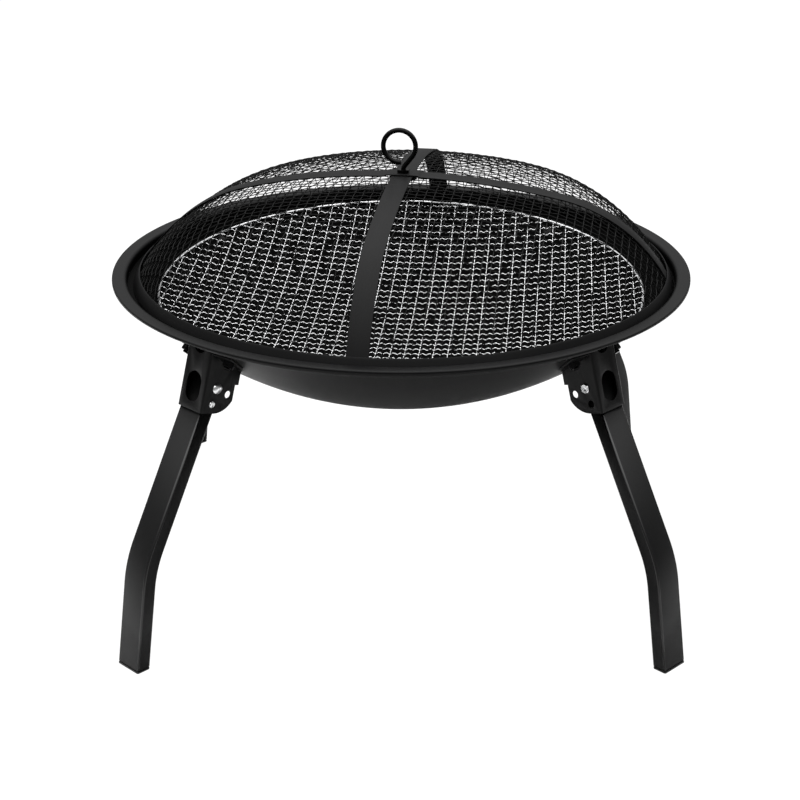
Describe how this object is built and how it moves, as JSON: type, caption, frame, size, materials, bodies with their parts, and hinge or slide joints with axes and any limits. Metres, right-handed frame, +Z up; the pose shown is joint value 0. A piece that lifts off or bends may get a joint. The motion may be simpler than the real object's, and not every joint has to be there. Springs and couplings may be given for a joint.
{
  "type": "folding fire pit",
  "caption": "Round black steel fire bowl on folding bent legs, with a loose dished wire grate and a domed mesh spark screen lifted by an eye handle.",
  "frame": {"origin": "on the floor, under the middle of the bowl", "axes": "+Z up along the bowl's axis, -Y towards the front of the picture, +X to its right"},
  "size_m": [0.56, 0.56, 0.4408],
  "materials": {
    "black_paint": "satin heat-resistant black",
    "grate_zinc": "bright zinc-plated wire",
    "zinc": "zinc-plated",
    "plug": "matt"
  },
  "bodies": {
    "bowl": {"bowl": "black_paint", "bracket_rear_right": "black_paint", "bracket_rear_left": "black_paint", "bracket_front_left": "black_paint", "bracket_front_right": "black_paint", "pivot_rivet_rear_right": "zinc", "pivot_rivet_rear_left": "zinc", "pivot_rivet_front_left": "zinc", "pivot_rivet_front_right": "zinc", "bracket_bolts": "black_paint", "bracket_nuts": "zinc"},
    "leg_rear_right": {"leg_tube_rear_right": "black_paint", "foot_plug_rear_right": "plug"},
    "clip_rear_right": {"lock_clip_rear_right": "zinc"},
    "leg_rear_left": {"leg_tube_rear_left": "black_paint", "foot_plug_rear_left": "plug"},
    "clip_rear_left": {"lock_clip_rear_left": "zinc"},
    "leg_front_left": {"leg_tube_front_left": "black_paint", "foot_plug_front_left": "plug"},
    "clip_front_left": {"lock_clip_front_left": "zinc"},
    "leg_front_right": {"leg_tube_front_right": "black_paint", "foot_plug_front_right": "plug"},
    "clip_front_right": {"lock_clip_front_right": "zinc"},
    "grate": {"grate_ring": "grate_zinc", "grate_wires_across": "grate_zinc", "grate_wires_along": "grate_zinc"},
    "screen": {"screen_band": "black_paint", "screen_wires_across": "black_paint", "screen_wires_along": "black_paint", "strap_front_rear": "black_paint", "strap_left_right": "black_paint", "handle_eye": "black_paint", "handle_collar": "black_paint", "handle_washer": "black_paint", "handle_nut": "zinc"}
  },
  "joints": [
    {"name": "fold_rear_right", "type": "hinge", "parent": "bowl", "child": "leg_rear_right", "pos_m": [0.18266, 0.16915, 0.25143], "axis": [-0.6794, 0.7337, 0], "range_deg": [0, 80], "deforming": ["lock_clip_rear_right"]},
    {"name": "press_rear_right", "type": "slide", "parent": "leg_rear_right", "child": "clip_rear_right", "axis": [0.6794, -0.7337, 0], "range_m": [0, 0.0032], "stiffness_N_per_m": 1500, "springref_m": -0.001},
    {"name": "fold_rear_left", "type": "hinge", "parent": "bowl", "child": "leg_rear_left", "pos_m": [-0.17418, 0.17787, 0.25143], "axis": [-0.7145, -0.6997, 0], "range_deg": [0, 80], "deforming": ["lock_clip_rear_left"]},
    {"name": "press_rear_left", "type": "slide", "parent": "leg_rear_left", "child": "clip_rear_left", "axis": [0.7145, 0.6997, 0], "range_m": [0, 0.0032], "stiffness_N_per_m": 1500, "springref_m": -0.001},
    {"name": "fold_front_left", "type": "hinge", "parent": "bowl", "child": "leg_front_left", "pos_m": [-0.17604, -0.17604, 0.25143], "axis": [0.7071, -0.7071, 0], "range_deg": [0, 80], "deforming": ["lock_clip_front_left"]},
    {"name": "press_front_left", "type": "slide", "parent": "leg_front_left", "child": "clip_front_left", "axis": [-0.7071, 0.7071, 0], "range_m": [0, 0.0032], "stiffness_N_per_m": 1500, "springref_m": -0.001},
    {"name": "fold_front_right", "type": "hinge", "parent": "bowl", "child": "leg_front_right", "pos_m": [0.17604, -0.17604, 0.25143], "axis": [0.7071, 0.7071, 0], "range_deg": [0, 80], "deforming": ["lock_clip_front_right"]},
    {"name": "press_front_right", "type": "slide", "parent": "leg_front_right", "child": "clip_front_right", "axis": [-0.7071, -0.7071, 0], "range_m": [0, 0.0032], "stiffness_N_per_m": 1500, "springref_m": -0.001},
    {"name": "grate_lift", "type": "slide", "parent": "bowl", "child": "grate", "axis": [0, 0, 1], "range_m": [0, 0.12]},
    {"name": "screen_lift", "type": "slide", "parent": "grate", "child": "screen", "axis": [0, 0, 1], "range_m": [0, 0.2]}
  ]
}
